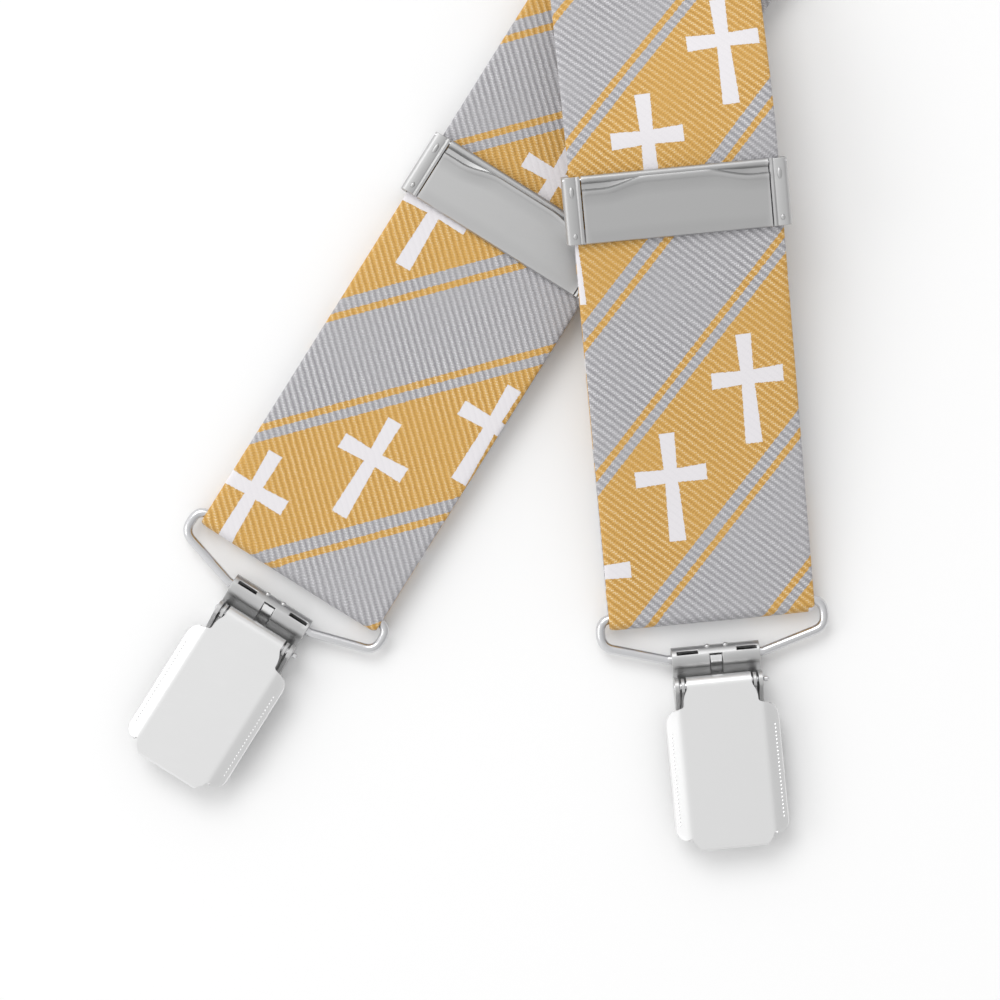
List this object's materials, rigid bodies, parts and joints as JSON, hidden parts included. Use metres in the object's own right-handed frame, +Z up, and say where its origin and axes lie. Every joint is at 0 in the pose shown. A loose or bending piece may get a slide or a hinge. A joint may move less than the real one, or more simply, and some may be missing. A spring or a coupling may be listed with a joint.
{
  "type": "suspenders",
  "caption": "Clip-on X-back suspenders: patterned woven straps, adjuster slides with flip levers, wire bails, crossed leather back patch, elastic tails and hinged grip clips.",
  "frame": {"origin": "centre of the back patch's outer face, which lies on the table", "axes": "+Y from the patch up to the shoulder folds, +Z up off the table, +X to the right with the front half face up"},
  "size_m": [0.1878, 0.5954, 0.0167],
  "materials": {
    "strap_silk": "ribbed woven satin, gold and silver-grey diagonal stripes with pale crosses",
    "elastic": "ribbed knitted elastic, silver grey",
    "patch_leather": "fine-grained grey leather, stitched round the edge",
    "satin_nickel": "satin nickel plate",
    "bright_nickel": "bright nickel plate",
    "steel_wire": "polished plated steel wire",
    "grip_plastic": "milky ribbed plastic"
  },
  "bodies": {
    "root": {"front_strap_a": "strap_silk", "front_strap_b": "strap_silk", "back_strap_a": "strap_silk", "back_strap_b": "strap_silk", "adjuster_tail_a": "strap_silk", "adjuster_tail_b": "strap_silk", "back_tail_a": "elastic", "back_tail_b": "elastic", "patch_outer": "patch_leather", "patch_inner": "patch_leather"},
    "slide_a": {"slide_frame_a": "satin_nickel", "slide_pin_a": "steel_wire", "adjuster_end_a": "strap_silk"},
    "slide_lever_a": {"slide_lever_a": "satin_nickel"},
    "slide_b": {"slide_frame_b": "satin_nickel", "slide_pin_b": "steel_wire", "adjuster_end_b": "strap_silk"},
    "slide_lever_b": {"slide_lever_b": "satin_nickel"},
    "bail_front_a": {"bail_front_a": "steel_wire"},
    "clip_front_a": {"clip_base_front_a": "bright_nickel", "grip_pad_front_a": "grip_plastic", "hinge_pin_front_a": "steel_wire"},
    "jaw_front_a": {"clip_jaw_front_a": "bright_nickel", "jaw_spring_front_a": "steel_wire"},
    "lever_front_a": {"clip_lever_front_a": "bright_nickel"},
    "bail_front_b": {"bail_front_b": "steel_wire"},
    "clip_front_b": {"clip_base_front_b": "bright_nickel", "grip_pad_front_b": "grip_plastic", "hinge_pin_front_b": "steel_wire"},
    "jaw_front_b": {"clip_jaw_front_b": "bright_nickel", "jaw_spring_front_b": "steel_wire"},
    "lever_front_b": {"clip_lever_front_b": "bright_nickel"},
    "bail_back_a": {"bail_back_a": "steel_wire"},
    "clip_back_a": {"clip_base_back_a": "bright_nickel", "grip_pad_back_a": "grip_plastic", "hinge_pin_back_a": "steel_wire"},
    "jaw_back_a": {"clip_jaw_back_a": "bright_nickel", "jaw_spring_back_a": "steel_wire"},
    "lever_back_a": {"clip_lever_back_a": "bright_nickel"},
    "bail_back_b": {"bail_back_b": "steel_wire"},
    "clip_back_b": {"clip_base_back_b": "bright_nickel", "grip_pad_back_b": "grip_plastic", "hinge_pin_back_b": "steel_wire"},
    "jaw_back_b": {"clip_jaw_back_b": "bright_nickel", "jaw_spring_back_b": "steel_wire"},
    "lever_back_b": {"clip_lever_back_b": "bright_nickel"}
  },
  "joints": [
    {"name": "slide_travel_a", "type": "slide", "parent": "root", "child": "slide_a", "axis": [-0.3223, -0.9466, -0.007], "range_m": [0, 0.045], "deforming": ["adjuster_tail_a"]},
    {"name": "slide_lever_flip_a", "type": "hinge", "parent": "slide_a", "child": "slide_lever_a", "pos_m": [-0.01276, -0.21721, 0.00552], "axis": [-0.9466, 0.3223, 0], "range_deg": [0, 12]},
    {"name": "slide_travel_b", "type": "slide", "parent": "root", "child": "slide_b", "axis": [0.3186, -0.9359, -0.1503], "range_m": [0, 0.045], "deforming": ["adjuster_tail_b"]},
    {"name": "slide_lever_flip_b", "type": "hinge", "parent": "slide_b", "child": "slide_lever_b", "pos_m": [0.01004, -0.20921, 0.0162], "axis": [-0.9466, -0.3223, 0], "range_deg": [0, 95]},
    {"name": "bail_swing_front_a", "type": "hinge", "parent": "root", "child": "bail_front_a", "pos_m": [-0.03693, -0.2882, 0.0021], "axis": [0.9466, -0.3223, 0], "range_deg": [-60, 60]},
    {"name": "clip_swing_front_a", "type": "hinge", "parent": "bail_front_a", "child": "clip_front_a", "pos_m": [-0.03948, -0.29568, 0.0021], "axis": [0.9466, -0.3223, 0], "range_deg": [-60, 60]},
    {"name": "clip_lever_flip_front_a", "type": "hinge", "parent": "clip_front_a", "child": "lever_front_a", "pos_m": [-0.04096, -0.30003, 0.004], "axis": [-0.9466, 0.3223, 0], "range_deg": [0, 105]},
    {"name": "clip_jaw_open_front_a", "type": "hinge", "parent": "clip_front_a", "child": "jaw_front_a", "pos_m": [-0.04096, -0.30003, 0.004], "axis": [-0.9466, 0.3223, 0], "range_deg": [0, 14]},
    {"name": "bail_swing_front_b", "type": "hinge", "parent": "root", "child": "bail_front_b", "pos_m": [0.03371, -0.27873, 0.0021], "axis": [0.9466, 0.3223, 0], "range_deg": [-60, 60]},
    {"name": "clip_swing_front_b", "type": "hinge", "parent": "bail_front_b", "child": "clip_front_b", "pos_m": [0.03625, -0.28621, 0.0021], "axis": [0.9466, 0.3223, 0], "range_deg": [-60, 60]},
    {"name": "clip_lever_flip_front_b", "type": "hinge", "parent": "clip_front_b", "child": "lever_front_b", "pos_m": [0.03774, -0.29057, 0.004], "axis": [-0.9466, -0.3223, 0], "range_deg": [0, 105]},
    {"name": "clip_jaw_open_front_b", "type": "hinge", "parent": "clip_front_b", "child": "jaw_front_b", "pos_m": [0.03774, -0.29057, 0.004], "axis": [-0.9466, -0.3223, 0], "range_deg": [0, 14]},
    {"name": "bail_swing_back_a", "type": "hinge", "parent": "root", "child": "bail_back_a", "pos_m": [-0.06633, -0.10701, 0.0034], "axis": [-0.85, 0.5268, 0], "range_deg": [-60, 60]},
    {"name": "clip_swing_back_a", "type": "hinge", "parent": "bail_back_a", "child": "clip_back_a", "pos_m": [-0.07049, -0.11373, 0.0034], "axis": [-0.85, 0.5268, 0], "range_deg": [-60, 60]},
    {"name": "clip_lever_flip_back_a", "type": "hinge", "parent": "clip_back_a", "child": "lever_back_a", "pos_m": [-0.07291, -0.11764, 0.0015], "axis": [0.85, -0.5268, 0], "range_deg": [0, 105]},
    {"name": "clip_jaw_open_back_a", "type": "hinge", "parent": "clip_back_a", "child": "jaw_back_a", "pos_m": [-0.07291, -0.11764, 0.0015], "axis": [0.85, -0.5268, 0], "range_deg": [0, 14]},
    {"name": "bail_swing_back_b", "type": "hinge", "parent": "root", "child": "bail_back_b", "pos_m": [0.06633, -0.10701, 0.0034], "axis": [-0.85, -0.5268, 0], "range_deg": [-60, 60]},
    {"name": "clip_swing_back_b", "type": "hinge", "parent": "bail_back_b", "child": "clip_back_b", "pos_m": [0.07049, -0.11373, 0.0034], "axis": [-0.85, -0.5268, 0], "range_deg": [-60, 60]},
    {"name": "clip_lever_flip_back_b", "type": "hinge", "parent": "clip_back_b", "child": "lever_back_b", "pos_m": [0.07291, -0.11764, 0.0015], "axis": [0.85, 0.5268, 0], "range_deg": [0, 105]},
    {"name": "clip_jaw_open_back_b", "type": "hinge", "parent": "clip_back_b", "child": "jaw_back_b", "pos_m": [0.07291, -0.11764, 0.0015], "axis": [0.85, 0.5268, 0], "range_deg": [0, 14]}
  ],
  "couplings": [
    {"joint": "clip_jaw_open_front_a", "follows": "clip_lever_flip_front_a", "ratio": 0.12},
    {"joint": "clip_jaw_open_front_b", "follows": "clip_lever_flip_front_b", "ratio": 0.12},
    {"joint": "clip_jaw_open_back_a", "follows": "clip_lever_flip_back_a", "ratio": 0.12},
    {"joint": "clip_jaw_open_back_b", "follows": "clip_lever_flip_back_b", "ratio": 0.12}
  ]
}
